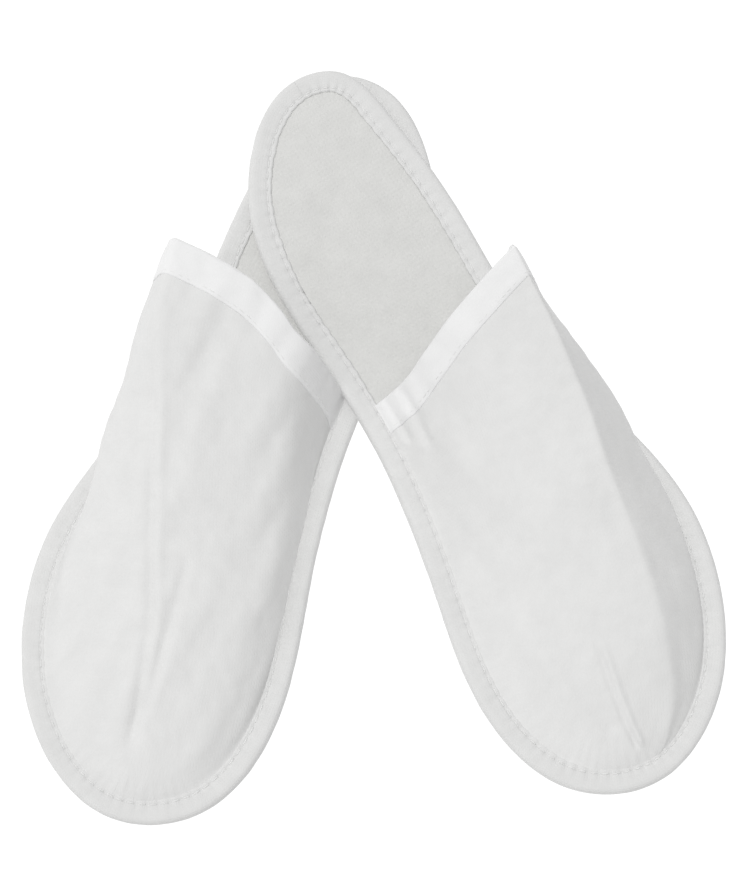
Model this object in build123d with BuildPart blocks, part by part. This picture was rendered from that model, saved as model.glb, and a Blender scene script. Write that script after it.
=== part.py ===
"""A pair of closed-toe spa slippers, one resting its heel on the heel of the other.

Millimetres, +Z up, toes towards -Y and heels towards +Y, with the origin on the floor under the
middle of the pair. "left" and "right" are the sides of the pair seen from above with the toes
nearest. Each slipper is drawn in its own sole plane: x is measured towards the slipper's outer side,
y towards its heel and z up from the underside of its sole.
"""
from build123d import *
import os

# Layers of the sole, from the floor up
outsole_thickness = 1.6
midsole_thickness = 3.3
cover_thickness = 0.6
tape_thickness = 0.8            # edge binding tape
tape_width = 8.3                # how far the tape reaches in over the sole, above and below
tape_edge_radius = 1.5
midsole_base = outsole_thickness
cover_base = midsole_base + midsole_thickness
cover_top = cover_base + cover_thickness
binding_top = cover_top + tape_thickness

# Outline of the sole from the heel, round the outer side to the toe and back
sole_points = [
    (15.5, 140), (31, 135), (39, 109.5), (41, 70.5), (39.5, 30), (47.5, -25), (53, -62), (43, -105),
    (22, -132.5), (-10, -145), (-38, -131.5), (-50, -92.5), (-41.5, -45), (-31.5, 20), (-31.5, 72.5),
    (-27, 99), (-14, 122.5),
]
outline_steps = 36

# Upper
cloth_thickness = 0.9
lining_thickness = 0.6
upper_thickness = cloth_thickness + lining_thickness
margin_thickness = 0.4          # lasting margin, sewn between the insole cover and the tape
margin_outer_inset = 3.0
margin_inner_inset = 9.2
toe_wall = 1.2
hem_width = 9.0                 # tape folded over the throat
hem_thickness = 0.5
throat_inner_x = -22.5          # where the throat meets the sole's inner side
throat_y = 20.5
throat_lean = 0.11              # how far the throat leans to the heel for each mm of height
left_swing = 0.27               # how far the throat swings to the heel for each mm outwards
right_swing = 0.165

# Cross-sections of the uppers, from behind the throat to the toe: y, then the inner foot, the
# shoulder, the ridge, the outer bulge and the outer foot, each as x and height.
right_sections = [
    (60, [(-22.4, cover_top), (-3, 31), (39, 68), (38, 36), (30.2, cover_top)]),
    (15, [(-22.2, cover_top), (-3, 28), (36, 56), (38, 30), (30.2, cover_top)]),
    (-15, [(-25.9, cover_top), (-7, 26), (34, 47.5), (40, 25), (35.7, cover_top)]),
    (-45, [(-32.2, cover_top), (-11, 23), (31.5, 39), (42, 20), (42.2, cover_top)]),
    (-75, [(-38.4, cover_top), (-16, 19), (27, 30), (40, 15), (43, cover_top)]),
    (-100, [(-39.8, cover_top), (-19, 15), (20.5, 21.5), (32, 11), (35.3, cover_top)]),
    (-117, [(-36, cover_top), (-18, 11.5), (14, 14), (21, 9.8), (24.6, cover_top)]),
    (-131, [(-24, cover_top), (-15, 8.6), (0, 9), (4, 8), (7.9, cover_top)]),
]
left_sections = [
    (60, [(-22.4, cover_top), (-5, 51), (46.5, 56), (45, 34), (30.2, cover_top)]),
    (15, [(-22.2, cover_top), (-10, 42), (42, 50), (45, 28), (30.2, cover_top)]),
    (-15, [(-25.9, cover_top), (-19, 36), (32, 42), (43, 24), (35.7, cover_top)]),
    (-45, [(-32.2, cover_top), (-28, 28), (20, 34), (40, 19), (42.2, cover_top)]),
    (-75, [(-38.4, cover_top), (-33, 20), (8, 27), (36, 15), (43, cover_top)]),
    (-100, [(-39.8, cover_top), (-32, 14), (1, 20), (27, 12), (35.3, cover_top)]),
    (-117, [(-36, cover_top), (-27, 10.5), (-3, 13), (16, 9.8), (24.6, cover_top)]),
    (-131, [(-24, cover_top), (-17, 8.6), (-7, 9), (2, 8), (7.9, cover_top)]),
]

# Thread
thread_width = 0.5
thread_height = 0.35
edge_seam_inset = 7.2
hem_seam_depth = 7.6            # distance of the hem's seam from the throat's edge

# Where the slippers lie: the right heel is raised on the left heel, its outer side a little lower.
left_centre = (-42.87, 0.98, 0)
left_yaw = -24.0
right_centre = (31.83, 5.58, 5.27)
right_yaw = 32.2
right_pitch = 2.04
right_roll = 1.35
left_plane = Plane(Location(left_centre, (0, 0, left_yaw)))
right_tilt = Location((0, 0, 0), (right_pitch, right_roll, 0))
right_plane = Plane(Location(right_centre, (0, 0, right_yaw)) * right_tilt)


def outline(plane, side, inset):
    """The sole's outline on a plane, drawn in from the edge by inset."""
    edge = Spline(*sole_points, periodic=True)
    points = []
    for step in range(outline_steps):
        place = edge @ (step / outline_steps)
        along = edge % (step / outline_steps)
        points.append((side * (place.X + inset * along.Y), place.Y - inset * along.X))
    with BuildSketch(plane) as sketch:
        with BuildLine():
            Spline(*points, periodic=True)
        make_face()
    return sketch.sketch


def plate(plane, side, inset, low, high, mode=Mode.ADD):
    """A flat piece of the sole between two heights."""
    extrude(outline(plane.offset(low), side, inset), amount=high - low, mode=mode)


def drawn_in(corners, distance):
    """A cross-section with its sides moved in by distance and its base left on the insole cover."""
    moved = []
    count = len(corners)
    for number, (x, z) in enumerate(corners):
        back_x, back_z = corners[number - 1]
        next_x, next_z = corners[(number + 1) % count]
        before = Vector(x - back_x, z - back_z).normalized()
        after = Vector(next_x - x, next_z - z).normalized()
        before_distance = 0 if number == 0 else distance
        after_distance = 0 if number == count - 1 else distance
        spread = before.Y * after.X - before.X * after.Y
        moved.append((
            x + (before_distance * after.X - after_distance * before.X) / spread,
            z + (before_distance * after.Y - after_distance * before.Y) / spread,
        ))
    return moved


def section_plane(plane, y):
    """The upright plane across a slipper at y."""
    return Plane(plane.from_local_coords(Vector(0, y, 0)), x_dir=plane.x_dir, z_dir=-plane.y_dir)


def profile(plane, side, y, corners):
    """A closed polygon on the upright plane across a slipper at y."""
    with BuildSketch(section_plane(plane, y)) as sketch:
        with BuildLine():
            Polyline(*[(side * x, z) for x, z in corners], close=True)
        make_face()
    return sketch.sketch


def cloth(plane, side, sections, outside, inside):
    """Cloth over the sections, between two distances in from them, open at the throat."""
    strips = []
    for y, corners in sections:
        strip = drawn_in(corners, outside) + drawn_in(corners, inside)[::-1]
        strips.append(profile(plane, side, y, strip))
    with BuildPart() as piece:
        loft(strips, ruled=True)
    return piece.part


def throat_plane(plane, side, swing, depth):
    """The slanted plane of the throat, moved depth towards the toe. Its normal points to the heel."""
    end = plane.from_local_coords(Vector(throat_inner_x * side, throat_y, cover_top))
    normal = plane.y_dir - plane.x_dir * (swing * side) - plane.z_dir * throat_lean
    return Plane(end, z_dir=normal).offset(-depth)


def lasting_margin(plane, side, swing):
    """The flat edge of the upper that the tape holds down."""
    with BuildPart() as margin:
        plate(plane, side, margin_outer_inset, cover_top, cover_top + margin_thickness)
        plate(plane, side, margin_inner_inset, cover_top, binding_top, mode=Mode.SUBTRACT)
        split(bisect_by=throat_plane(plane, side, swing, hem_thickness), keep=Keep.BOTTOM)
    return margin.part


def save(piece, name):
    """Label a piece and write its file."""
    piece.label = name
    export_step(piece, f"parts/{name}.step")


def sole(name, plane, side):
    """The three layers that the tape binds."""
    with BuildPart() as outsole:
        plate(plane, side, tape_thickness, tape_thickness, midsole_base)
        plate(plane, side, tape_width, 0, tape_thickness)
    save(outsole.part, f"{name}_outsole")

    with BuildPart() as midsole:
        plate(plane, side, tape_thickness, midsole_base, cover_base)
    save(midsole.part, f"{name}_midsole")

    with BuildPart() as insole_cover:
        plate(plane, side, tape_thickness, cover_base, cover_top)
    save(insole_cover.part, f"{name}_insole_cover")


def binding(name, plane, side, margin):
    """The tape folded round the sole's edge, and the thread that holds it."""
    with BuildPart() as edge_binding:
        plate(plane, side, 0, 0, binding_top)
        fillet(edge_binding.edges().filter_by(GeomType.BSPLINE), radius=tape_edge_radius)
        plate(plane, side, tape_width, 0, binding_top, mode=Mode.SUBTRACT)
        plate(plane, side, tape_thickness, tape_thickness, cover_top, mode=Mode.SUBTRACT)
        add(margin, mode=Mode.SUBTRACT)
    save(edge_binding.part, f"{name}_edge_binding")

    with BuildPart() as edge_stitching:
        thread_top = binding_top + thread_height
        plate(plane, side, edge_seam_inset, binding_top, thread_top)
        plate(plane, side, edge_seam_inset + thread_width, binding_top, thread_top, mode=Mode.SUBTRACT)
    save(edge_stitching.part, f"{name}_edge_stitching")


def covering(name, plane, side, sections, swing, margin):
    """The upper, its lining, and the hem round its throat."""
    throat = throat_plane(plane, side, swing, 0)
    cloth_edge = throat_plane(plane, side, swing, hem_thickness)
    toe_y, toe_corners = sections[-1]

    with BuildPart() as upper:
        add(cloth(plane, side, sections, 0, cloth_thickness))
        extrude(profile(plane, side, toe_y, toe_corners), amount=toe_wall)
        split(bisect_by=cloth_edge, keep=Keep.BOTTOM)
        add(margin)
    save(upper.part, f"{name}_upper")

    with BuildPart() as upper_lining:
        add(cloth(plane, side, sections, cloth_thickness, upper_thickness))
        split(bisect_by=cloth_edge, keep=Keep.BOTTOM)
    save(upper_lining.part, f"{name}_upper_lining")

    with BuildPart() as throat_hem:
        add(cloth(plane, side, sections, -hem_thickness, upper_thickness + hem_thickness))
        split(bisect_by=throat, keep=Keep.BOTTOM)
        split(bisect_by=throat.offset(-hem_width), keep=Keep.TOP)
        add(upper.part, mode=Mode.SUBTRACT)
        add(upper_lining.part, mode=Mode.SUBTRACT)
    save(throat_hem.part, f"{name}_throat_hem")

    with BuildPart() as hem_stitching:
        add(cloth(plane, side, sections, -hem_thickness - thread_height, -hem_thickness))
        split(bisect_by=throat.offset(-hem_seam_depth), keep=Keep.BOTTOM)
        split(bisect_by=throat.offset(-hem_seam_depth - thread_width), keep=Keep.TOP)
        split(bisect_by=plane.offset(binding_top + thread_height), keep=Keep.TOP)
    save(hem_stitching.part, f"{name}_hem_stitching")


os.makedirs("parts", exist_ok=True)
for name, plane, side, sections, swing in [
    ("left", left_plane, -1, left_sections, left_swing),
    ("right", right_plane, 1, right_sections, right_swing),
]:
    margin = lasting_margin(plane, side, swing)
    sole(name, plane, side)
    binding(name, plane, side, margin)
    covering(name, plane, side, sections, swing, margin)
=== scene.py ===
import math

import bpy
import numpy as np
from mathutils import Matrix, Vector
from mathutils.geometry import delaunay_2d_cdt


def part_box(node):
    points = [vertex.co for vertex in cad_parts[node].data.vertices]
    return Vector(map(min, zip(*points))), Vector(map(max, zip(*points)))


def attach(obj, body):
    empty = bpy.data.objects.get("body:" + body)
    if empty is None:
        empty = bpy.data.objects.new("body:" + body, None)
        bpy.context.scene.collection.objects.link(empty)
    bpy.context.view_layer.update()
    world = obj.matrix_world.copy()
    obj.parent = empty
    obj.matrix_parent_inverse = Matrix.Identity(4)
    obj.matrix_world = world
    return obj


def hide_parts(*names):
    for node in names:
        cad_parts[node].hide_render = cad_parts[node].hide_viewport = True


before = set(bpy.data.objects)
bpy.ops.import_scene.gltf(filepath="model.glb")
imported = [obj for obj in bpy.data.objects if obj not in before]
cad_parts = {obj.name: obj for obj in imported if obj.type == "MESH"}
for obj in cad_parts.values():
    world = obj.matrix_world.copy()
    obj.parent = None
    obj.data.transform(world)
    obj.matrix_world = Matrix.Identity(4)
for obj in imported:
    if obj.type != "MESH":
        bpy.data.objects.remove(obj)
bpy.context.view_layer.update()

# A pair of spa slippers in white non-woven cloth. Lengths are millimetres in a slipper's own sole
# plane until Slipper.world() turns them into metres in the CAD frame: x towards the slipper's outer
# side, y towards its heel and z up from the underside of its sole.
MM = 0.001
scene = bpy.context.scene

# Sole
SOLE_POINTS = [
    (15.5, 140), (31, 135), (39, 109.5), (41, 70.5), (39.5, 30), (47.5, -25), (53, -62), (43, -105),
    (22, -132.5), (-10, -145), (-38, -131.5), (-50, -92.5), (-41.5, -45), (-31.5, 20), (-31.5, 72.5),
    (-27, 99), (-14, 122.5),
]
MIDSOLE_BASE = 1.6
COVER_BASE = 4.9
COVER_TOP = 5.5
TAPE_THICKNESS = 0.8
SEAM_INSET = 6.9
STITCH_PITCH = 4.8

# Upper
FOOT_INSET = 7.4              # where the cloth meets the sole, in from the sole's edge
FOOT_HEIGHT = 5.75
CLOTH = 0.9
LINING = 0.5
HEM_THICKNESS = 0.5
HEM_SEAM = 1.5                # from the hem's lower edge
HEM_STITCH_PITCH = 3.1
THROAT_LEAN = 0.11            # how far the throat leans to the heel for each mm of height
ROWS = 190                    # of points down an upper, from its throat to its toe
COLUMNS = 170                 # and across it, from its inner foot to its outer one


# ---------------------------------------------------------------- curves and fields

def unit(v):
    """Vectors scaled to length 1."""
    return v / np.maximum(np.linalg.norm(v, axis=-1, keepdims=True), 1e-9)


def soft_step(value):
    """0 below 0, 1 above 1, smooth between."""
    t = np.clip(value, 0, 1)
    return t * t * (3 - 2 * t)


def evenly(line, count, closed=False):
    """count places evenly spaced along a polyline."""
    if closed:
        line = np.vstack([line, line[:1]])
    lengths = np.r_[0, np.cumsum(np.linalg.norm(np.diff(line, axis=0), axis=1))]
    wanted = np.linspace(0, lengths[-1], count, endpoint=not closed)
    return np.stack([np.interp(wanted, lengths, line[:, k]) for k in range(line.shape[1])], 1)


def closed_curve(points, count):
    """A smooth closed curve through points, as count places evenly spaced along it."""
    knots = np.array(points, float)
    total = len(knots)
    steps = np.linalg.norm(np.roll(knots, -1, 0) - knots, axis=1)
    matrix = np.zeros((total, total))
    pull = np.zeros((total, 2))
    for i in range(total):
        back, ahead = steps[i - 1], steps[i]
        matrix[i, i - 1] = ahead
        matrix[i, i] = 2 * (back + ahead)
        matrix[i, (i + 1) % total] += back
        rise = (knots[(i + 1) % total] - knots[i]) / ahead
        run = (knots[i] - knots[i - 1]) / back
        pull[i] = 3 * (ahead * run + back * rise)
    slopes = np.linalg.solve(matrix, pull)
    places = []
    t = np.linspace(0, 1, 80, endpoint=False)[:, None]
    for i in range(total):
        start, end = knots[i], knots[(i + 1) % total]
        first, last = slopes[i] * steps[i], slopes[(i + 1) % total] * steps[i]
        places.append(
            (2 * t**3 - 3 * t**2 + 1) * start + (t**3 - 2 * t**2 + t) * first
            + (3 * t**2 - 2 * t**3) * end + (t**3 - t**2) * last
        )
    return evenly(np.vstack(places), count, closed=True)


def b_spline(control, count):
    """Clamped cubic B-splines of rows of control points: (rows, points, axes) in, and
    (rows, count, axes) out."""
    points = control.shape[1]
    spans = points - 3
    knots = np.r_[[0] * 3, np.arange(spans + 1), [spans] * 3].astype(float)
    where = np.linspace(0, spans - 1e-9, count)
    basis = np.array([(where >= knots[k]) & (where < knots[k + 1]) for k in range(points + 3)], float)
    for degree in range(1, 4):
        for k in range(points + 3 - degree):
            term = np.zeros(count)
            left, right = knots[k + degree] - knots[k], knots[k + degree + 1] - knots[k + 1]
            if left:
                term += (where - knots[k]) / left * basis[k]
            if right:
                term += (knots[k + degree + 1] - where) / right * basis[k + 1]
            basis[k] = term
    return np.einsum("kt,rkc->rtc", basis[:points], control)


def smooth_rows(places, values, wanted):
    """Values at the wanted places on a smooth curve through the given ones."""
    places, values = np.array(places, float), np.array(values, float)
    slopes = np.gradient(values, places, axis=0)
    spot = np.clip(np.searchsorted(places, wanted) - 1, 0, len(places) - 2)
    shape = (-1,) + (1,) * (values.ndim - 1)
    gap = (places[spot + 1] - places[spot]).reshape(shape)
    t = (wanted - places[spot]).reshape(shape) / gap
    return (
        (2 * t**3 - 3 * t**2 + 1) * values[spot] + (t**3 - 2 * t**2 + t) * gap * slopes[spot]
        + (3 * t**2 - 2 * t**3) * values[spot + 1] + (t**3 - t**2) * gap * slopes[spot + 1]
    )


def waves(points, length, seed, count=12):
    """A smooth random field of about -1 to 1 whose bumps are about length long."""
    rng = np.random.default_rng(seed)
    total = np.zeros(points.shape[:-1])
    for _ in range(count):
        way = unit(rng.normal(size=points.shape[-1]))
        size = length * rng.uniform(0.7, 1.5)
        total += np.sin(points @ way * (2 * math.pi / size) + rng.uniform(0, 2 * math.pi))
    return total / math.sqrt(count)


def beside(points, path):
    """How far points lie from a path, signed by side, and how far along it they are, from 0 to 1."""
    path = np.array(path, float)
    spans = np.linalg.norm(np.diff(path, axis=0), axis=1)
    begun = np.r_[0, np.cumsum(spans)]
    away = np.full(points.shape[:-1], 1e9)
    along = np.zeros(points.shape[:-1])
    for k, span in enumerate(spans):
        way = (path[k + 1] - path[k]) / span
        reach = points - path[k]
        part = np.clip(reach @ way, 0, span)
        gap = np.linalg.norm(reach - part[..., None] * way, axis=-1)
        side = np.sign(reach[..., 0] * way[1] - reach[..., 1] * way[0])
        nearer = gap < np.abs(away)
        away = np.where(nearer, gap * np.where(side == 0, 1, side), away)
        along = np.where(nearer, (begun[k] + part) / begun[-1], along)
    return away, along


# ---------------------------------------------------------------- the sole's outline

OUTLINE_COUNT = 1440
OUTLINE = closed_curve(SOLE_POINTS, OUTLINE_COUNT)
ALONG = unit(np.roll(OUTLINE, -1, 0) - np.roll(OUTLINE, 1, 0))
INWARD = np.stack([ALONG[:, 1], -ALONG[:, 0]], 1)
STEP = np.linalg.norm(np.roll(OUTLINE, -1, 0) - OUTLINE, axis=1).mean()
PERIMETER = STEP * OUTLINE_COUNT


def ring_at(inset):
    """The outline drawn in from the sole's edge."""
    return OUTLINE + INWARD * inset


def edges_at(y, inset):
    """x of the inner and outer sides of the drawn-in outline at y."""
    ring = ring_at(inset)
    ahead = np.roll(ring, -1, 0)
    cross = (ring[:, 1] - y) * (ahead[:, 1] - y) <= 0
    share = (y - ring[cross, 1]) / (ahead[cross, 1] - ring[cross, 1] + 1e-12)
    x = ring[cross, 0] + share * (ahead[cross, 0] - ring[cross, 0])
    return x.min(), x.max()


class Slipper:
    """Where a slipper lies, and what sets it apart from the other one."""

    def __init__(self, name, side, yaw, tilt, shape):
        self.name = name
        self.body = f"{name}_slipper"
        self.side = side
        self.shape = shape
        turn = Matrix.Rotation(math.radians(yaw), 3, "Z")
        turn = turn @ Matrix.Rotation(math.radians(tilt[0]), 3, "X")
        turn = turn @ Matrix.Rotation(math.radians(tilt[1]), 3, "Y")
        self.turn = np.array(turn)
        self.origin = np.zeros(3)
        ring = ring_at(TAPE_THICKNESS)
        sole = np.vstack([np.c_[ring, np.full(len(ring), z)] for z in (MIDSOLE_BASE, COVER_BASE)])
        sole = self.world(sole)
        low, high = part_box(f"{name}_midsole")
        self.origin = (np.array(low) + np.array(high) - sole.min(0) - sole.max(0)) / 2

    def world(self, points):
        """Points in the sole plane's millimetres as metres in the CAD frame."""
        points = np.asarray(points, float) * np.array([self.side, 1, 1])
        return points * MM @ self.turn.T + self.origin


# rows: y, then the shoulder, ridge and outer bulge of the cross-section there, each as x and height,
# then how far the inner side hangs out over the tape, how round the ridge is, and how much the top of
# the foot is crowned.
# throat: x and y of the throat's edge at the height of the insole.
# hem: the width of the hem that shows.
# creases: the path of each, its width and depth, then how far beside it its lip is and how high.
SLIPPERS = [
    Slipper("left", -1, -24.0, (0, 0), {
        "rows": [
            (60, (-5, 50), (54, 58), (53.5, 42), 0.0, 8.0, 1.0),
            (15, (-10, 41), (44, 51.5), (52, 34), 3.5, 8.0, 1.5),
            (-15, (-19, 34), (31.5, 42.5), (50, 24), 5.0, 8.0, 2.0),
            (-45, (-27, 26.5), (19, 34.5), (45, 18), 4.5, 7.0, 2.0),
            (-75, (-32, 19), (6, 25.5), (38, 15), 3.0, 6.0, 1.5),
            (-100, (-31, 13.5), (-1, 18.5), (27, 12), 1.0, 5.0, 1.0),
            (-117, (-27, 10.5), (-5, 13), (16, 9.8), 0.0, 4.0, 0.5),
            (-131, (-17, 8.6), (-8, 9), (2, 8), 0.0, 3.0, 0.0),
        ],
        "throat": [(-22.5, 26), (-10, 26.2), (-3, 27.6), (6, 32), (16, 35.6), (28, 37.4), (50, 38)],
        "hem": 12.6,
        "creases": [
            (
                [(45.5, 22), (40, 6), (27, -25), (15, -53), (4, -78), (-5, -111), (-8, -127)],
                2.4, -1.15, 3.2, 0.5,
            ),
            ([(2, -45), (-2, -66), (-4, -82), (-6, -101), (-8, -112)], 2.2, -0.6, 3.0, 0.4),
            ([(-14, 5), (-22, -30), (-26, -62)], 5.0, -0.5, 7.0, 0.3),
        ],
        "seed": 11,
    }),
    Slipper("right", 1, 32.2, (2.04, 1.35), {
        "rows": [
            (60, (-3, 31), (41, 71), (41.5, 44), 0.0, 2.5, 1.5),
            (15, (-3, 28), (37.5, 57), (45, 32), 0.0, 2.5, 2.0),
            (-15, (-7, 26), (34.5, 47.5), (49, 25), 0.0, 3.0, 2.5),
            (-45, (-11, 23), (28.5, 40), (49, 17), 0.0, 3.5, 2.5),
            (-75, (-16, 19), (23.5, 32), (44, 14), 0.5, 3.5, 2.0),
            (-100, (-19, 15), (17.5, 25), (34, 11.5), 0.5, 3.5, 1.0),
            (-117, (-18, 11.5), (11, 17), (22.5, 10), 0.0, 3.5, 0.5),
            (-131, (-15, 8.6), (2, 10), (5, 8), 0.0, 3.0, 0.0),
        ],
        "throat": [(-22.5, 20.8), (-12, 19.8), (-3, 21.4), (10, 24.3), (24, 26.3), (45, 28.6)],
        "hem": 11.0,
        "creases": [
            ([(-3, -90), (-7, -111), (-9, -124), (-9.5, -133)], 1.1, 0.8, 2.2, -0.8),
            ([(-22, -78), (-19.5, -88), (-18, -105), (-16, -124)], 3.0, -0.5, 3.6, 0.5),
            ([(-14, 24), (-15, 10), (-17, -4)], 1.6, -0.7, 2.2, 0.5),
            ([(-20, 24), (-20.5, 12), (-21, 2)], 1.2, -0.6, 1.8, 0.4),
        ],
        "seed": 23,
    }),
]


def upper_grid(s):
    """Outer skin of the upper: rows run from the throat to the toe, columns from the inner foot to
    the outer foot."""
    tip = ring_at(FOOT_INSET)[:, 1].min() + 0.12
    turn_in = -120
    places = np.r_[
        np.linspace(60, turn_in, 165)[:-1],
        tip + (turn_in - tip) * (1 - np.linspace(0, 1, 60)) ** 2,
    ]
    table = []
    for y, shoulder, ridge, bulge, hang, round_off, crown in s.shape["rows"]:
        inner, outer = edges_at(y, FOOT_INSET)
        across = [(p[0] - inner) / (outer - inner) for p in (shoulder, ridge, bulge)]
        table.append([*across, shoulder[1], ridge[1], bulge[1], hang, round_off, crown])
    table.append([*table[-1][:3], FOOT_HEIGHT, FOOT_HEIGHT, FOOT_HEIGHT, 0, 1, 0])
    rows_at = [row[0] for row in s.shape["rows"]] + [tip]
    values = smooth_rows(rows_at[::-1], table[::-1], places)

    control = []
    for y, row in zip(places, values):
        inner, outer = edges_at(y, FOOT_INSET)
        width = outer - inner
        tuck = min(1.4, 0.1 * width)
        foot = np.array([inner, FOOT_HEIGHT])
        far_foot = np.array([outer, FOOT_HEIGHT])
        shoulder, ridge, bulge = [
            np.array([inner + across * width, max(height, FOOT_HEIGHT)])
            for across, height in zip(row[:3], row[3:6])
        ]
        hang, round_off, crown = row[6:9]
        top = ridge - shoulder
        wall = bulge - ridge
        round_off = min(round_off, 0.3 * np.linalg.norm(top), 0.45 * np.linalg.norm(wall))
        lift = np.array([-top[1], top[0]]) / max(np.linalg.norm(top), 1e-6) * crown
        out = np.array([-hang, 0])
        control.append([
            foot,
            foot + (tuck, 0.05),
            foot + 0.33 * (shoulder - foot) + out,
            foot + 0.72 * (shoulder - foot) + 0.6 * out,
            shoulder + 0.4 * lift,
            shoulder + 0.33 * top + lift,
            shoulder + 0.66 * top + lift,
            ridge - round_off * unit(top),
            ridge,
            ridge + round_off * unit(wall),
            ridge + 0.65 * wall,
            bulge,
            bulge + 0.6 * (far_foot - bulge),
            far_foot + (-tuck, 0.05),
            far_foot,
        ])
    section = b_spline(np.array(control), COLUMNS)
    skin = np.stack([section[..., 0], np.repeat(places[:, None], COLUMNS, 1), section[..., 1]], -1)

    throat_x, throat_y = np.array(s.shape["throat"], float).T
    across = np.clip(skin[..., 0], throat_x[0], throat_x[-1])
    throat = smooth_rows(throat_x, throat_y, across.ravel()).reshape(across.shape)
    throat += THROAT_LEAN * (skin[..., 2] - COVER_TOP)
    before = skin[..., 1] - throat
    grid = np.zeros((ROWS, COLUMNS, 3))
    for column in range(COLUMNS):
        first = np.argmax(before[:, column] < 0)
        near, far = before[first - 1, column], before[first, column]
        start = first - 1 + near / (near - far)
        wanted = np.linspace(start, len(places) - 1, ROWS)
        for axis in range(3):
            grid[:, column, axis] = np.interp(wanted, np.arange(len(places)), skin[:, column, axis])
    return grid


def grid_normals(grid):
    """Unit normals of a grid of points, out of the side where rows turn to columns."""
    down = np.gradient(grid, axis=0)
    across = np.gradient(grid, axis=1)
    upright = np.array([0, 0, 0.02])        # for the toe's end, where the columns run together
    return unit(np.cross(down, across) + upright)


def nearest_on_outline(points):
    """Distance in from the sole's edge and distance round it, for points in the sole plane."""
    flat = points.reshape(-1, 2)
    inset = np.zeros(len(flat))
    round_it = np.zeros(len(flat))
    for start in range(0, len(flat), 4000):
        gap = np.linalg.norm(flat[start:start + 4000, None] - OUTLINE[None, ::2], axis=-1)
        nearest = gap.argmin(1)
        inset[start:start + 4000] = gap[np.arange(len(nearest)), nearest]
        round_it[start:start + 4000] = nearest * 2 * STEP
    return inset.reshape(points.shape[:-1]), round_it.reshape(points.shape[:-1])


STITCHES = round(PERIMETER / STITCH_PITCH)
PITCH = PERIMETER / STITCHES


def pinch_at(round_it):
    """1 at each needle hole, 0 half-way between two."""
    return (0.5 + 0.5 * np.cos(2 * math.pi * round_it / PITCH)) ** 1.5


def wrinkled(s, grid):
    """The upper with its creases, the small folds of the cloth and the puckers at its seam."""
    flat = grid[..., :2]
    height = grid[..., 2]
    seed = s.shape["seed"]
    move = np.zeros(flat.shape[:-1])
    for path, width, depth, lip_gap, lip in s.shape["creases"]:
        away, along = beside(flat, path)
        ends = soft_step(along / 0.25) * soft_step((1 - along) / 0.08)
        move += ends * depth * np.exp(-(away / width) ** 2)
        move += ends * lip * np.exp(-((away - lip_gap) / width) ** 2)
    lengthwise = flat * np.array([1, 0.22])
    free = soft_step((height - 7) / 8)
    move += free * 0.35 * waves(lengthwise, 13, seed)
    move += free * 0.45 * waves(grid, 34, seed + 1)
    move += free * 0.07 * waves(grid, 6, seed + 2)
    _, round_it = nearest_on_outline(flat)
    low = np.exp(-((height - 6.4) / 2.6) ** 2)
    move += low * (0.14 * pinch_at(round_it + PITCH / 2) - 0.06)
    move *= soft_step(np.linspace(1, 0, ROWS) / 0.12)[:, None]
    return grid + grid_normals(grid) * move[..., None]


# ---------------------------------------------------------------- meshes

def add_mesh(name, s, points, faces, flat_places=None):
    """A mesh piece that moves with its slipper."""
    mesh = bpy.data.meshes.new(name)
    mesh.from_pydata(s.world(points).tolist(), [], faces)
    if flat_places is not None:
        layer = mesh.uv_layers.new(name="cloth")
        corner = np.empty(len(mesh.loops), int)
        mesh.loops.foreach_get("vertex_index", corner)
        layer.data.foreach_set("uv", (np.asarray(flat_places) * MM)[corner].ravel())
    if s.side < 0:
        mesh.flip_normals()
    mesh.polygons.foreach_set("use_smooth", [True] * len(mesh.polygons))
    mesh.update()
    piece = bpy.data.objects.new(name, mesh)
    scene.collection.objects.link(piece)
    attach(piece, s.body)
    return piece


def grid_faces(rows, columns, around=False):
    """Quads of a grid of points, closed from its last row to its first and its last column to its
    first where around is True."""
    faces = []
    for i in range(rows if around else rows - 1):
        for j in range(columns if around else columns - 1):
            a, b = i * columns + j, i * columns + (j + 1) % columns
            c, d = (i + 1) % rows * columns + (j + 1) % columns, (i + 1) % rows * columns + j
            faces.append((a, d, c, b))
    return faces


def flat_lengths(grid):
    """Places of a grid's points on the cloth as it lies flat, about its middle column."""
    across = np.linalg.norm(np.diff(grid, axis=1), axis=-1)
    across = np.concatenate([np.zeros((len(grid), 1)), np.cumsum(across, 1)], 1)
    across -= across[:, grid.shape[1] // 2][:, None]
    down = np.linalg.norm(np.diff(grid, axis=0), axis=-1)
    down = np.concatenate([np.zeros((1, grid.shape[1])), np.cumsum(down, 0)], 0)
    return np.stack([across, down], -1)


def add_cloth(name, s, grid, thickness):
    """A grid of points as cloth whose thickness lies under them."""
    rows, columns = grid.shape[:2]
    piece = add_mesh(
        name, s, grid.reshape(-1, 3), grid_faces(rows, columns), flat_lengths(grid).reshape(-1, 2)
    )
    thicken(piece, thickness)
    return piece


def thicken(piece, thickness):
    """Gives a sheet its thickness, under the surface it has."""
    solid = piece.modifiers.new("thickness", "SOLIDIFY")
    solid.thickness = thickness * MM
    solid.offset = -1


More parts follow.
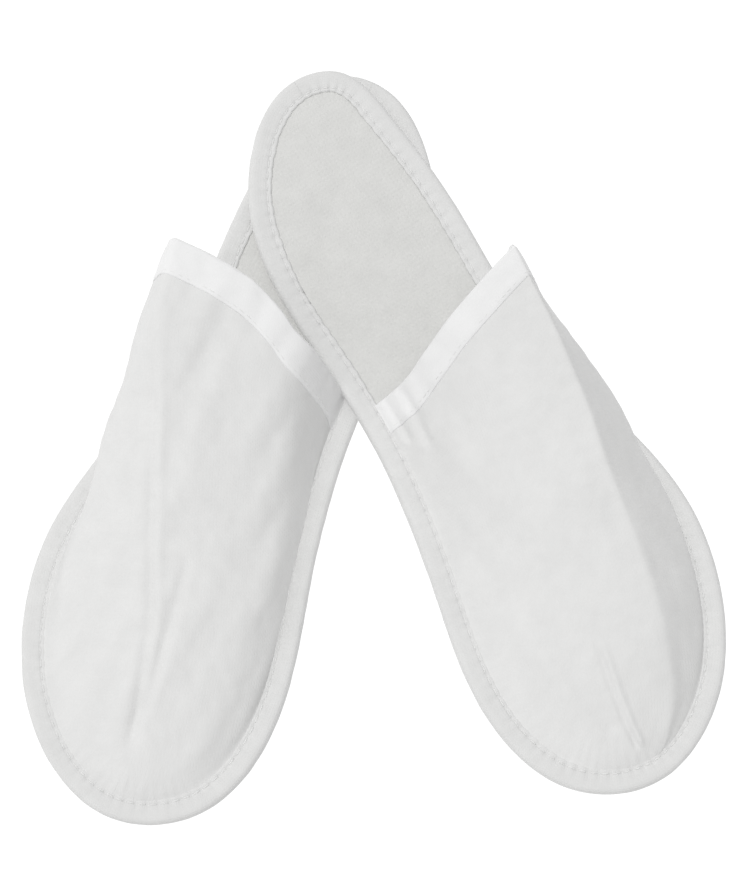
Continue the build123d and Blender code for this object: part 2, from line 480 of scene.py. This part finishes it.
def add_threads(name, s, paths, radius):
    """Short stitches of thread, each round and tucked in at both ends."""
    sides = 7
    points, faces, flat = [], [], []
    turn = np.linspace(0, 2 * math.pi, sides, endpoint=False)
    for path in paths:
        base = len(points)
        way = unit(np.gradient(path, axis=0))
        across = unit(np.cross(way, np.array([0.0, 0.0, 1.0]) + 1e-3))
        up = np.cross(across, way)
        count = len(path)
        for k in range(count):
            size = radius * (0.35 + 0.65 * math.sin(math.pi * k / (count - 1)) ** 0.5)
            ring = np.outer(np.cos(turn), across[k]) + np.outer(np.sin(turn), up[k])
            points.extend(path[k] + ring * size)
            flat.extend([(k * 0.5, 0.2 * j) for j in range(sides)])
        for k in range(count - 1):
            for j in range(sides):
                a, b = base + k * sides + j, base + k * sides + (j + 1) % sides
                faces.append((a, b, b + sides, a + sides))
        faces.append(tuple(base + j for j in range(sides))[::-1])
        faces.append(tuple(base + (count - 1) * sides + j for j in range(sides)))
    return add_mesh(name, s, np.array(points), faces, np.array(flat))


# Cross-section of the tape round the sole's edge, as distance in from the edge and height: its outer
# skin from the lip on the insole round to the underside, then its inner skin back.
TAPE_OUTER = [
    (8.55, 5.55), (8.4, 5.78), (8.1, 5.97), (7.75, 6.06), (7.35, 5.98), (6.9, 5.76), (6.5, 5.92),
    (6.1, 6.08), (5.3, 6.12), (4.4, 6.18), (3.4, 6.27), (2.4, 6.3), (1.6, 6.2), (0.95, 5.95),
    (0.45, 5.45), (0.14, 4.7), (0.0, 3.7), (0.02, 2.4), (0.15, 1.5), (0.45, 0.75), (1.0, 0.25),
    (1.8, 0.02), (4.5, 0.0), (8.3, 0.0),
]
TAPE_INNER = [
    (8.3, 0.75), (2.0, 0.8), (0.95, 1.2), (0.8, 2.0), (0.8, 4.6), (1.1, 5.35), (2.0, 5.45), (8.3, 5.5),
]
TAPE_LIP = 8.3                # the lip on the insole, in from the sole's edge


def add_binding(s):
    """The tape folded round the sole's edge, puckered between the holes of its seam."""
    profile = np.array(TAPE_OUTER + TAPE_INNER, float)
    outer = len(TAPE_OUTER)
    round_it = np.arange(OUTLINE_COUNT) * STEP
    circle = round_it / PERIMETER * 2 * math.pi
    loop = np.stack([np.cos(circle), np.sin(circle)], -1) * PERIMETER / (2 * math.pi)
    seed = s.shape["seed"]
    pinch = pinch_at(round_it)[:, None]
    slack = waves(loop, 9, seed + 5)[:, None]
    drift = waves(loop, 40, seed + 6)[:, None]
    inset = np.repeat(profile[None, :, 0], OUTLINE_COUNT, 0)
    height = np.repeat(profile[None, :, 1], OUTLINE_COUNT, 0)
    upper_side = np.zeros(len(profile))
    upper_side[:outer - 7] = 1
    near_seam = np.exp(-((profile[:, 0] - SEAM_INSET) / 1.5) ** 2) * upper_side
    near_lip = np.exp(-((profile[:, 0] - TAPE_LIP) / 0.6) ** 2) * upper_side
    band = np.exp(-((profile[:, 0] - 5.0) / 2.2) ** 2) * upper_side
    side = np.exp(-((profile[:, 1] - 3.2) / 1.6) ** 2) * (profile[:, 0] < 0.6)
    height += near_seam * (0.10 - 0.28 * pinch) + band * (0.07 * slack - 0.08 * pinch)
    inset += near_lip * (0.15 - 0.3 * pinch + 0.12 * slack + 0.2 * drift)
    inset += side * (0.06 * slack + 0.06 * drift)
    height = np.maximum(height, 0)
    grid = np.concatenate([
        OUTLINE[:, None] + INWARD[:, None] * inset[..., None], height[..., None]
    ], -1)
    lengths = np.r_[0, np.cumsum(np.linalg.norm(np.diff(profile, axis=0), axis=1))]
    flat = np.stack([
        np.repeat(lengths[None], OUTLINE_COUNT, 0), np.repeat(round_it[:, None], len(profile), 1)
    ], -1)
    faces = grid_faces(OUTLINE_COUNT, len(profile), around=True)
    return add_mesh(f"{s.name}_tape", s, grid.reshape(-1, 3), faces, flat.reshape(-1, 2))


def add_edge_stitches(s):
    """The stitches that hold the tape, one from each needle hole to the next."""
    line = ring_at(SEAM_INSET)
    line = np.vstack([line, line[:1]])
    numbers = np.arange(OUTLINE_COUNT + 1)
    arch = 0.28 * np.sin(np.linspace(0, math.pi, 7))
    paths = []
    rng = np.random.default_rng(s.shape["seed"] + 9)
    for k in range(STITCHES):
        places = (np.linspace(0.16, 0.84, 7) + k) * PITCH / STEP % OUTLINE_COUNT
        x, y = [np.interp(places, numbers, line[:, axis]) for axis in range(2)]
        paths.append(np.stack([x, y, 5.85 + arch + rng.uniform(-0.03, 0.03)], -1))
    return add_threads(f"{s.name}_edge_thread", s, paths, 0.26)


def down_columns(grid, lengths):
    """Places of a grid's columns at lengths down the cloth from its first row, and their normals."""
    normals = grid_normals(grid)
    near = 60
    down = np.linalg.norm(np.diff(grid[:near], axis=0), axis=-1)
    down = np.concatenate([np.zeros((1, grid.shape[1])), np.cumsum(down, 0)], 0)
    places = np.zeros((len(lengths), grid.shape[1], 3))
    out = np.zeros_like(places)
    for column in range(grid.shape[1]):
        for axis in range(3):
            places[:, column, axis] = np.interp(lengths, down[:, column], grid[:near, column, axis])
            out[:, column, axis] = np.interp(lengths, down[:, column], normals[:near, column, axis])
    return places, unit(out)


def add_hem(s, grid):
    """The tape folded over the throat and its stitches, and how long the seam is."""
    width = s.shape["hem"]
    seam_reach = width - HEM_SEAM
    reach = np.linspace(0, width, 25)[::-1]
    places, out = down_columns(grid, reach)
    seed = s.shape["seed"] + 13
    total = CLOTH + LINING
    ripple = 0.12 * waves(places * np.array([1, 0.6, 1]), 9, seed)
    pressed = -0.08 * np.exp(-((reach - seam_reach) / 0.7) ** 2)
    pressed = (pressed - 0.38 * soft_step((reach - seam_reach) / HEM_SEAM))[:, None]
    swell = 0.16 * np.exp(-((reach - 3.5) / 2.4) ** 2)[:, None]
    shape = (HEM_THICKNESS + 0.08 + ripple + pressed + swell)[..., None]
    outer = places + out * shape
    inner = (places - out * (total + HEM_THICKNESS + 0.08 + swell[..., None]))[::-1]
    edge, edge_out = places[-1], out[-1]
    back = unit(places[-1] - places[-4])
    radius = (total + 2 * HEM_THICKNESS) / 2
    fold = []
    for angle in np.linspace(0, math.pi, 9)[1:-1]:
        fold.append(
            edge - edge_out * total / 2 + edge_out * radius * math.cos(angle)
            + back * 0.75 * math.sin(angle)
        )
    whole = np.concatenate([outer, np.array(fold), inner])
    hem = add_cloth(f"{s.name}_hem", s, whole[::-1], HEM_THICKNESS - 0.05)

    seam, seam_out = down_columns(grid, np.array([seam_reach]))
    line = (seam + seam_out * (HEM_THICKNESS - 0.12))[0]
    line = line[line[:, 2] > 7.5]
    length = np.linalg.norm(np.diff(line, axis=0), axis=1).sum()
    count = int(length / HEM_STITCH_PITCH)
    fine = evenly(line, count * 12 + 1)
    paths = [fine[k * 12 + 2:k * 12 + 11] for k in range(count)]
    thread = add_threads(f"{s.name}_hem_thread", s, paths, 0.2)
    return hem, thread, length


def add_insole(s):
    """The cloth over the insole, sewn down under the tape."""
    ring_insets = [2.0, 4.5, 6.9, 7.7, 8.3, 8.9, 9.6, 10.5, 12.0, 14.0, 16.5]
    points = [ring_at(inset)[::2] for inset in ring_insets]
    border = len(points[0])
    x, y = np.meshgrid(np.arange(-52, 54, 2.0), np.arange(-146, 148, 2.0))
    x = x + (np.arange(len(x)) % 2)[:, None]
    inner = np.stack([x.ravel(), y.ravel()], -1)
    ring = ring_at(0)
    ahead = np.roll(ring, -1, 0)
    crossing = (ring[None, :, 1] > inner[:, None, 1]) != (ahead[None, :, 1] > inner[:, None, 1])
    share = (inner[:, None, 1] - ring[:, 1]) / (ahead[:, 1] - ring[:, 1] + 1e-9)
    cut = ring[:, 0] + share * (ahead[:, 0] - ring[:, 0])
    inside = (crossing & (inner[:, None, 0] < cut)).sum(1) % 2 == 1
    inner = inner[inside]
    inner = inner[nearest_on_outline(inner)[0] > 18]
    places = np.vstack(points + [inner])
    edges = [(k, (k + 1) % border) for k in range(border)]
    made = delaunay_2d_cdt([Vector(p) for p in places], edges, [], 1, 1e-6)
    flat = np.array([tuple(p) for p in made[0]])
    inset, round_it = nearest_on_outline(flat)
    seed = s.shape["seed"] + 17
    height = COVER_TOP - 0.25 * np.exp(-((inset - SEAM_INSET) / 1.4) ** 2)
    height += 0.4 * soft_step((inset - TAPE_LIP) / 16)
    height -= 0.22 * pinch_at(round_it) * np.exp(-((inset - 8.2) / 1.6) ** 2)
    height += 0.07 * waves(flat, 26, seed) * soft_step((inset - 9) / 6)
    faces = [tuple(f) for f in made[2]]
    piece = add_mesh(f"{s.name}_insole_cloth", s, np.c_[flat, height], faces, flat)
    thicken(piece, 0.5)
    return piece


# ---------------------------------------------------------------- materials

def add_material(name, colour, shade, roughness, sheen, dots, fibres, depth, coordinates="UV"):
    """Pale stuff with fine fibres, small pressed dots and slight unevenness of colour."""
    material = bpy.data.materials.new(name)
    material.use_nodes = True
    nodes, links = material.node_tree.nodes, material.node_tree.links
    surface = nodes["Principled BSDF"]
    surface.inputs["Roughness"].default_value = roughness
    surface.inputs["Specular IOR Level"].default_value = 0.25
    surface.inputs["Sheen Weight"].default_value = sheen
    surface.inputs["Sheen Roughness"].default_value = 0.6
    place = nodes.new("ShaderNodeTexCoord")
    stretch = nodes.new("ShaderNodeMapping")
    stretch.inputs["Scale"].default_value = (1.0, 0.22, 1.0)
    links.new(place.outputs[coordinates], stretch.inputs["Vector"])

    fibre = nodes.new("ShaderNodeTexNoise")
    fibre.inputs["Scale"].default_value = fibres
    fibre.inputs["Detail"].default_value = 5
    fibre.inputs["Roughness"].default_value = 0.7
    links.new(stretch.outputs["Vector"], fibre.inputs["Vector"])
    mottle = nodes.new("ShaderNodeTexNoise")
    mottle.inputs["Scale"].default_value = 90
    mottle.inputs["Detail"].default_value = 6
    mottle.inputs["Roughness"].default_value = 0.65
    links.new(place.outputs[coordinates], mottle.inputs["Vector"])
    dot = nodes.new("ShaderNodeTexVoronoi")
    dot.inputs["Scale"].default_value = dots
    dot.inputs["Randomness"].default_value = 0.25
    links.new(place.outputs[coordinates], dot.inputs["Vector"])
    pressed = nodes.new("ShaderNodeMapRange")
    pressed.inputs["From Min"].default_value = 0.12
    pressed.inputs["From Max"].default_value = 0.42
    links.new(dot.outputs["Distance"], pressed.inputs["Value"])

    mixed = nodes.new("ShaderNodeMath")
    mixed.operation = "MULTIPLY_ADD"
    mixed.inputs[1].default_value = 0.5
    links.new(fibre.outputs["Fac"], mixed.inputs[0])
    links.new(mottle.outputs["Fac"], mixed.inputs[2])
    tone = nodes.new("ShaderNodeMapRange")
    tone.inputs["From Min"].default_value = 0.5
    tone.inputs["From Max"].default_value = 1.0
    links.new(mixed.outputs["Value"], tone.inputs["Value"])
    paint = nodes.new("ShaderNodeMix")
    paint.data_type = "RGBA"
    paint.inputs["A"].default_value = (*[c * (1 - shade) for c in colour], 1)
    paint.inputs["B"].default_value = (*[min(c * (1 + shade), 1) for c in colour], 1)
    links.new(tone.outputs["Result"], paint.inputs["Factor"])
    links.new(paint.outputs["Result"], surface.inputs["Base Color"])

    relief = nodes.new("ShaderNodeMath")
    relief.operation = "MULTIPLY_ADD"
    relief.inputs[1].default_value = 0.6
    links.new(pressed.outputs["Result"], relief.inputs[0])
    links.new(mixed.outputs["Value"], relief.inputs[2])
    raised = nodes.new("ShaderNodeBump")
    raised.inputs["Strength"].default_value = 0.6
    raised.inputs["Distance"].default_value = depth * MM
    links.new(relief.outputs["Value"], raised.inputs["Height"])
    links.new(raised.outputs["Normal"], surface.inputs["Normal"])
    return material


# Each slot's colour, its unevenness, roughness, sheen, scales of dots and fibres, and depth in mm
LOOKS = {
    "upper_cloth": ((0.66, 0.66, 0.655), 0.035, 0.85, 0.25, 800, 2600, 0.10),
    "hem_tape": ((0.74, 0.74, 0.74), 0.02, 0.8, 0.3, 1100, 3200, 0.10),
    "lining_cloth": ((0.72, 0.72, 0.715), 0.04, 0.9, 0.2, 700, 2200, 0.18),
    "insole_cloth": ((0.605, 0.605, 0.592), 0.05, 0.9, 0.2, 650, 2200, 0.22),
    "binding_tape": ((0.635, 0.635, 0.63), 0.04, 0.8, 0.25, 1000, 3000, 0.14),
    "thread": ((0.70, 0.70, 0.695), 0.03, 0.6, 0.3, 2500, 5000, 0.05),
    "midsole_foam": ((0.78, 0.78, 0.77), 0.03, 0.75, 0.0, 900, 1500, 0.12, "Object"),
    "outsole_foam": ((0.70, 0.70, 0.69), 0.04, 0.7, 0.0, 450, 1500, 0.25, "Object"),
}
MATERIALS = {slot: add_material(f"{slot}_look", *look) for slot, look in LOOKS.items()}


def finish_with(piece, slot):
    """Gives a piece the material of its slot."""
    piece.data.materials.clear()
    piece.data.materials.append(MATERIALS[slot])


# ---------------------------------------------------------------- the slippers

for s in SLIPPERS:
    upper_skin = wrinkled(s, upper_grid(s))
    lining_skin = upper_skin - grid_normals(upper_skin) * (CLOTH + 0.02)

    insole = add_insole(s)
    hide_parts(f"{s.name}_insole_cover")
    finish_with(insole, "insole_cloth")
    tape = add_binding(s)
    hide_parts(f"{s.name}_edge_binding")
    finish_with(tape, "binding_tape")
    edge_thread = add_edge_stitches(s)
    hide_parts(f"{s.name}_edge_stitching")
    finish_with(edge_thread, "thread")
    upper = add_cloth(f"{s.name}_upper_cloth", s, upper_skin, CLOTH)
    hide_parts(f"{s.name}_upper")
    finish_with(upper, "upper_cloth")
    lining = add_cloth(f"{s.name}_lining", s, lining_skin, LINING)
    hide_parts(f"{s.name}_upper_lining")
    finish_with(lining, "lining_cloth")
    hem, hem_thread, throat_length = add_hem(s, upper_skin)
    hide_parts(f"{s.name}_throat_hem")
    finish_with(hem, "hem_tape")
    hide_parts(f"{s.name}_hem_stitching")
    finish_with(hem_thread, "thread")
    for layer in ("midsole", "outsole"):
        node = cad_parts[f"{s.name}_{layer}"]
        node.data.materials.clear()
        node.data.materials.append(MATERIALS[f"{layer}_foam"])


# ---------------------------------------------------------------- floor, light and camera

HALF_FLOOR = 3.0
FLOOR_DROP = 0.0002
FLOOR_GLOW = 1.05
ROOM_LIGHT = 0.56
KEY_ENERGY = 2.0
KEY_FROM = Vector((-0.34, 0.06, 1.0))
CAMERA_LENS = 140.74
CAMERA_LEAN = math.radians(13)
CAMERA_DISTANCE = 1.234
CAMERA_TARGET = Vector((0.00040, 0.00222, 0))

corners = [(-1, -1), (1, -1), (1, 1), (-1, 1)]
floor_mesh = bpy.data.meshes.new("floor")
floor_mesh.from_pydata([(x * HALF_FLOOR, y * HALF_FLOOR, 0) for x, y in corners], [], [(0, 1, 2, 3)])
floor = bpy.data.objects.new("floor", floor_mesh)
scene.collection.objects.link(floor)
floor.location.z = -FLOOR_DROP
floor_material = bpy.data.materials.new("floor")
floor_material.use_nodes = True
floor_surface = floor_material.node_tree.nodes["Principled BSDF"]
floor_surface.inputs["Base Color"].default_value = (0.05, 0.05, 0.05, 1)
floor_surface.inputs["Roughness"].default_value = 1.0
floor_surface.inputs["Specular IOR Level"].default_value = 0.0
floor_surface.inputs["Emission Color"].default_value = (1, 1, 1, 1)
floor_surface.inputs["Emission Strength"].default_value = FLOOR_GLOW
floor_mesh.materials.append(floor_material)

world = bpy.data.worlds.new("room")
scene.world = world
world.use_nodes = True
world.node_tree.nodes["Background"].inputs["Color"].default_value = (1, 1, 1, 1)
world.node_tree.nodes["Background"].inputs["Strength"].default_value = ROOM_LIGHT

key_data = bpy.data.lights.new("key", "SUN")
key_data.energy = KEY_ENERGY
key_data.angle = math.radians(60)
key_data.use_shadow = False             # the pair stands in light too soft to cast one
key = bpy.data.objects.new("key", key_data)
scene.collection.objects.link(key)
key.rotation_mode = "QUATERNION"
key.rotation_quaternion = KEY_FROM.to_track_quat("Z", "Y")

camera_data = bpy.data.cameras.new("camera")
camera = bpy.data.objects.new("camera", camera_data)
scene.collection.objects.link(camera)
scene.camera = camera
camera_data.lens = CAMERA_LENS
camera_data.sensor_width = 36
camera_data.clip_start = 0.1
camera_data.clip_end = 20
back = Vector((0, -math.sin(CAMERA_LEAN), math.cos(CAMERA_LEAN)))
camera.location = CAMERA_TARGET + back * CAMERA_DISTANCE
camera.rotation_mode = "QUATERNION"
camera.rotation_quaternion = back.to_track_quat("Z", "Y")
scene.view_settings.view_transform = "Standard"
